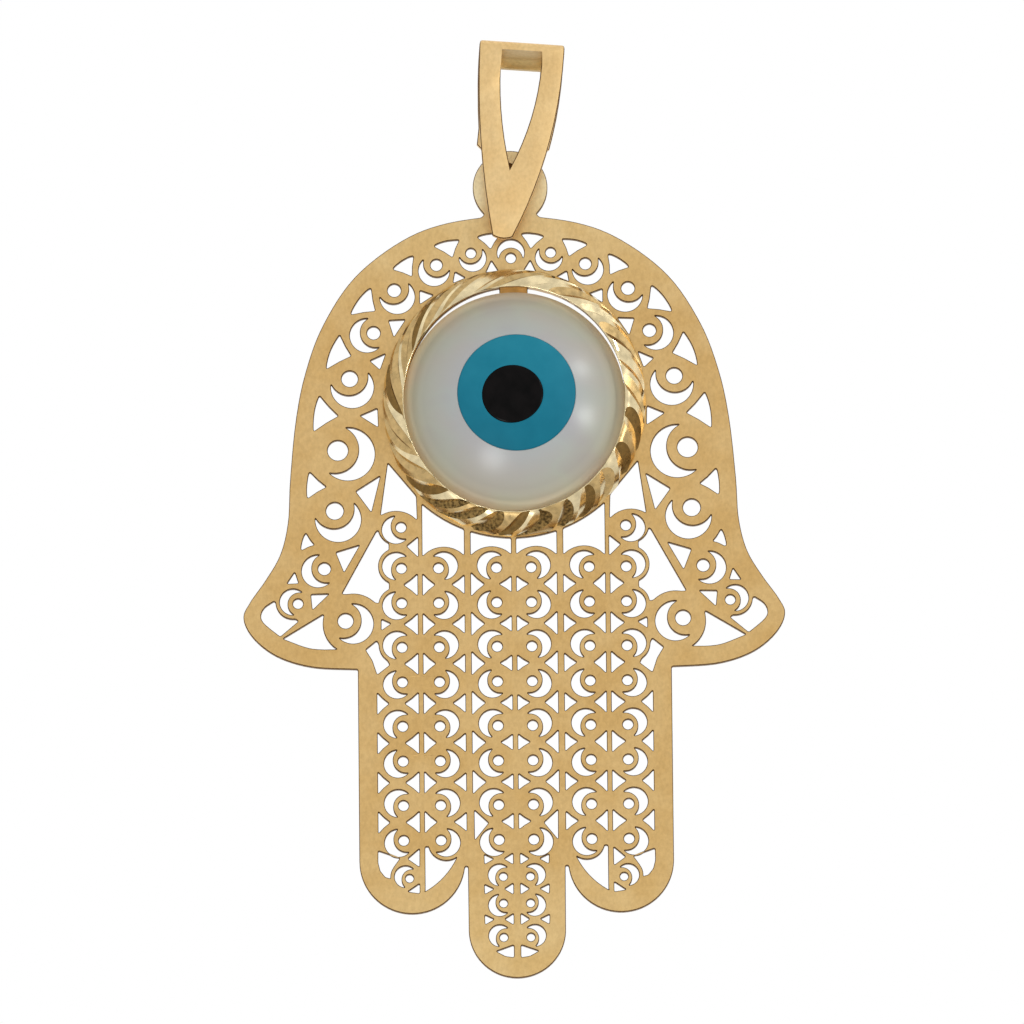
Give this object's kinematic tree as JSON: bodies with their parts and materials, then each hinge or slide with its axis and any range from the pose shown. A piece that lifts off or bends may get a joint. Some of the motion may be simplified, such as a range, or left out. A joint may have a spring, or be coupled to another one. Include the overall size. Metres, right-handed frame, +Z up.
{
  "type": "hamsa pendant",
  "caption": "Pierced sheet-metal hand pendant with scroll openwork, a domed pearl eye in a cut collar, and a folded tapering bail that it swings on.",
  "frame": {"origin": "top of the space inside the bail, where the chain lies", "axes": "+Z up, -Y towards the viewer, +X to the viewer's right"},
  "size_m": [0.0295, 0.0061, 0.0517],
  "materials": {
    "gold": "satin",
    "mother_of_pearl": "gloss",
    "blue_inlay": "gloss",
    "black_inlay": "gloss"
  },
  "bodies": {
    "bail": {"bail": "gold"},
    "hand": {"hand_plate": "gold", "eye_shell": "mother_of_pearl", "eye_iris": "blue_inlay", "eye_pupil": "black_inlay"}
  },
  "joints": [
    {"name": "hand_swing", "type": "hinge", "parent": "bail", "child": "hand", "pos_m": [-0.00068, -0.00103, -0.0062], "axis": [1, 0, 0], "range_deg": [-8, 72]}
  ]
}
